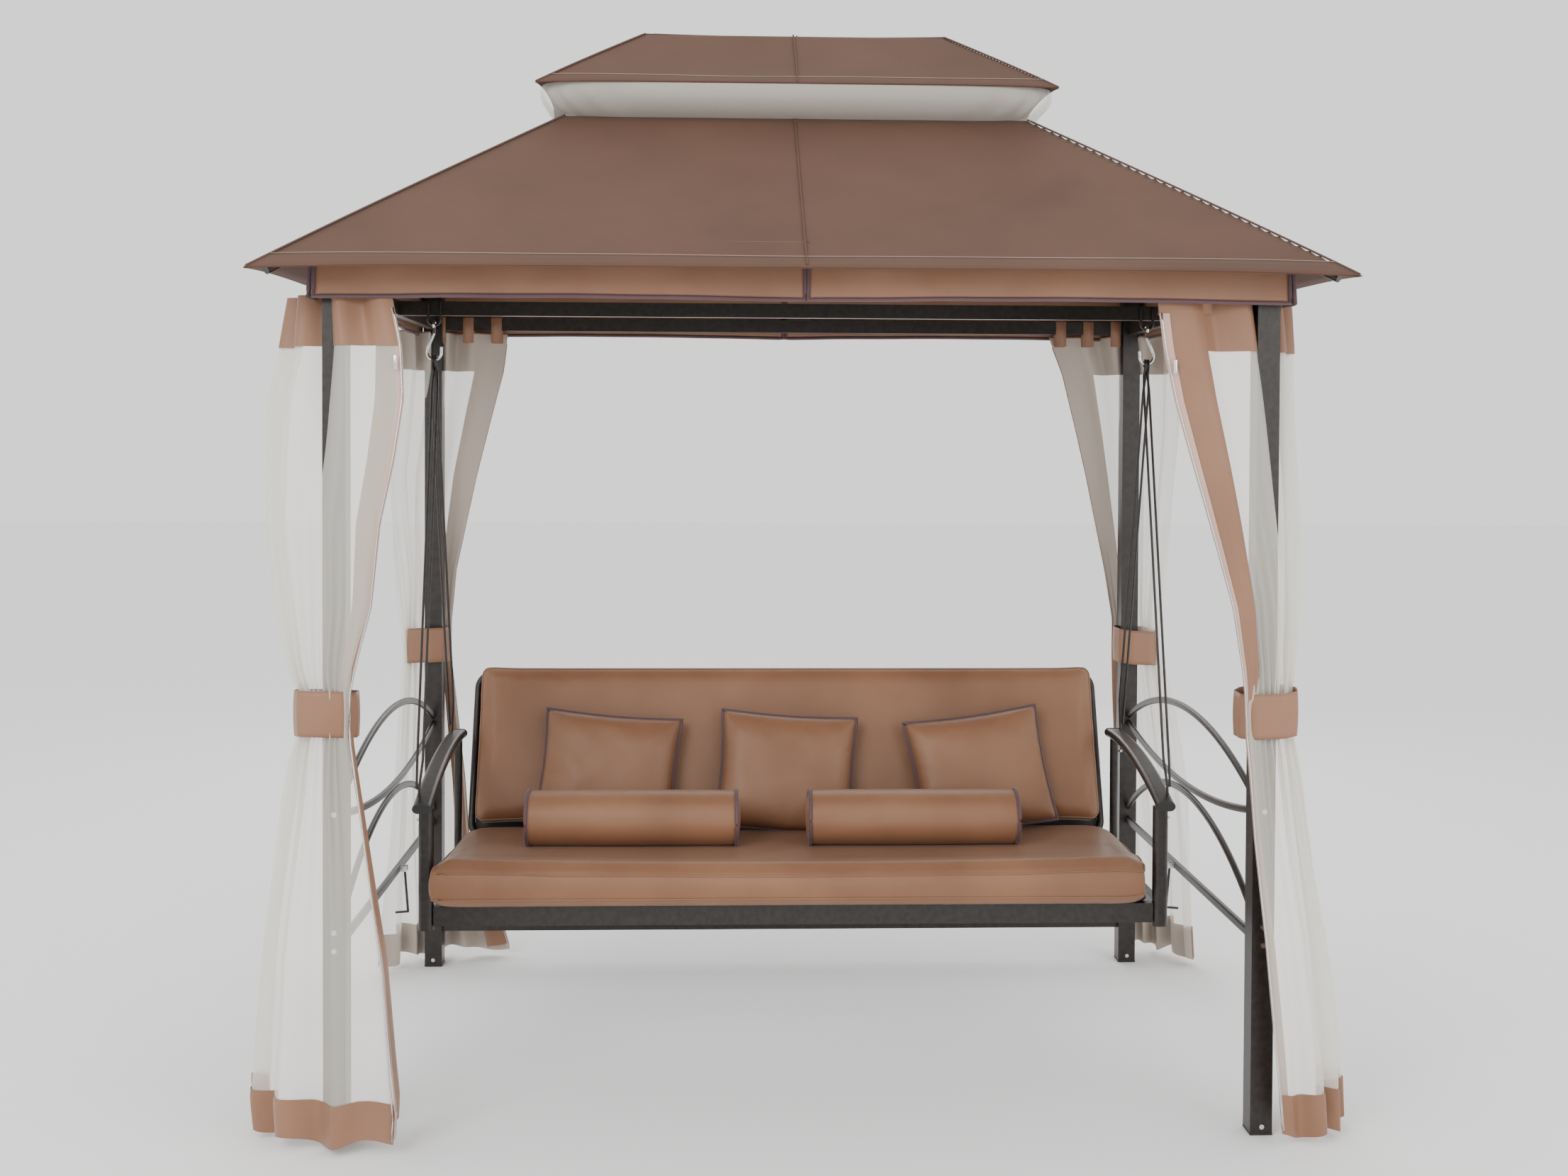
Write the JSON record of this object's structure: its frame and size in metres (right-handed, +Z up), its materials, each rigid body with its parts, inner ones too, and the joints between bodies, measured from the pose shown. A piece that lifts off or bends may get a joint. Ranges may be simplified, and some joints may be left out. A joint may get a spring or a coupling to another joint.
{
  "type": "canopy swing bench",
  "caption": "Free-standing garden swing bench under a two-tier canopy, with reclining back, curtains, valances and side panels.",
  "frame": {"origin": "on the ground, in the middle of the four posts", "axes": "+X to the sitter's left as seen from the front, which is the viewer's right; +Y to the back; +Z up"},
  "size_m": [2.722, 1.684, 2.8471],
  "materials": {
    "bronze_steel": "satin hammered powder coat",
    "black_steel": "satin",
    "zinc_steel": "bright zinc plate",
    "black_plastic": "matte",
    "roof_cloth": "woven polyester",
    "satin_cloth": "satin polyester",
    "net_cloth": "fine net",
    "sling_cloth": "coated mesh"
  },
  "bodies": {
    "frame": {"front_left_post": "bronze_steel", "front_right_post": "bronze_steel", "rear_left_post": "bronze_steel", "rear_right_post": "bronze_steel", "post_feet": "black_plastic", "front_top_beam": "bronze_steel", "rear_top_beam": "bronze_steel", "left_top_beam": "bronze_steel", "right_top_beam": "bronze_steel", "hanger_beam": "bronze_steel", "left_hanger_loop": "bronze_steel", "right_hanger_loop": "bronze_steel", "rear_lower_rail": "bronze_steel", "left_side_bars": "bronze_steel", "right_side_bars": "bronze_steel", "left_side_rail": "bronze_steel", "right_side_rail": "bronze_steel", "hip_poles": "bronze_steel", "vent_ring": "bronze_steel", "upper_hip_poles": "bronze_steel", "ridge_pole": "bronze_steel", "lower_canopy": "roof_cloth", "vent_mesh": "net_cloth", "upper_canopy": "roof_cloth", "front_valance": "satin_cloth", "rear_valance": "satin_cloth", "left_valance": "satin_cloth", "right_valance": "satin_cloth", "front_left_curtain": "net_cloth", "front_right_curtain": "net_cloth", "rear_left_curtain": "net_cloth", "rear_right_curtain": "net_cloth", "curtain_ties": "satin_cloth", "frame_bolts": "zinc_steel", "lock_rod_bolts": "zinc_steel"},
    "hooks": {"left_hook": "zinc_steel", "right_hook": "zinc_steel"},
    "bench": {"left_front_link": "bronze_steel", "left_rear_link": "bronze_steel", "right_front_link": "bronze_steel", "right_rear_link": "bronze_steel", "left_arm": "bronze_steel", "right_arm": "bronze_steel", "arm_end_caps": "black_plastic", "arm_posts": "bronze_steel", "front_rail": "bronze_steel", "rear_rail": "bronze_steel", "bench_side_rails": "bronze_steel", "bench_bolts": "zinc_steel", "seat_frame": "bronze_steel", "seat_sling": "sling_cloth", "seat_cushion": "satin_cloth", "bolsters": "satin_cloth"},
    "backrest": {"back_frame": "bronze_steel", "back_sling": "sling_cloth", "back_cushion": "satin_cloth", "pillows": "satin_cloth"},
    "left_lock": {"left_lock_rod": "black_steel"},
    "right_lock": {"right_lock_rod": "black_steel"}
  },
  "joints": [
    {"name": "hook_swing", "type": "hinge", "parent": "frame", "child": "hooks", "pos_m": [0, 0.03, 2.028], "axis": [1, 0, 0], "range_deg": [-6, 6]},
    {"name": "bench_swing", "type": "hinge", "parent": "hooks", "child": "bench", "pos_m": [0, 0.03, 1.93], "axis": [1, 0, 0], "range_deg": [-8, 8]},
    {"name": "back_recline", "type": "hinge", "parent": "bench", "child": "backrest", "pos_m": [0, 0.216, 0.496], "axis": [-1, 0, 0], "range_deg": [0, 68]},
    {"name": "left_lock_swing", "type": "hinge", "parent": "frame", "child": "left_lock", "pos_m": [-1.1105, 0.068, 0.47], "axis": [0, -1, 0], "range_deg": [0, 50]},
    {"name": "right_lock_swing", "type": "hinge", "parent": "frame", "child": "right_lock", "pos_m": [1.1105, 0.068, 0.47], "axis": [0, 1, 0], "range_deg": [0, 50]}
  ]
}
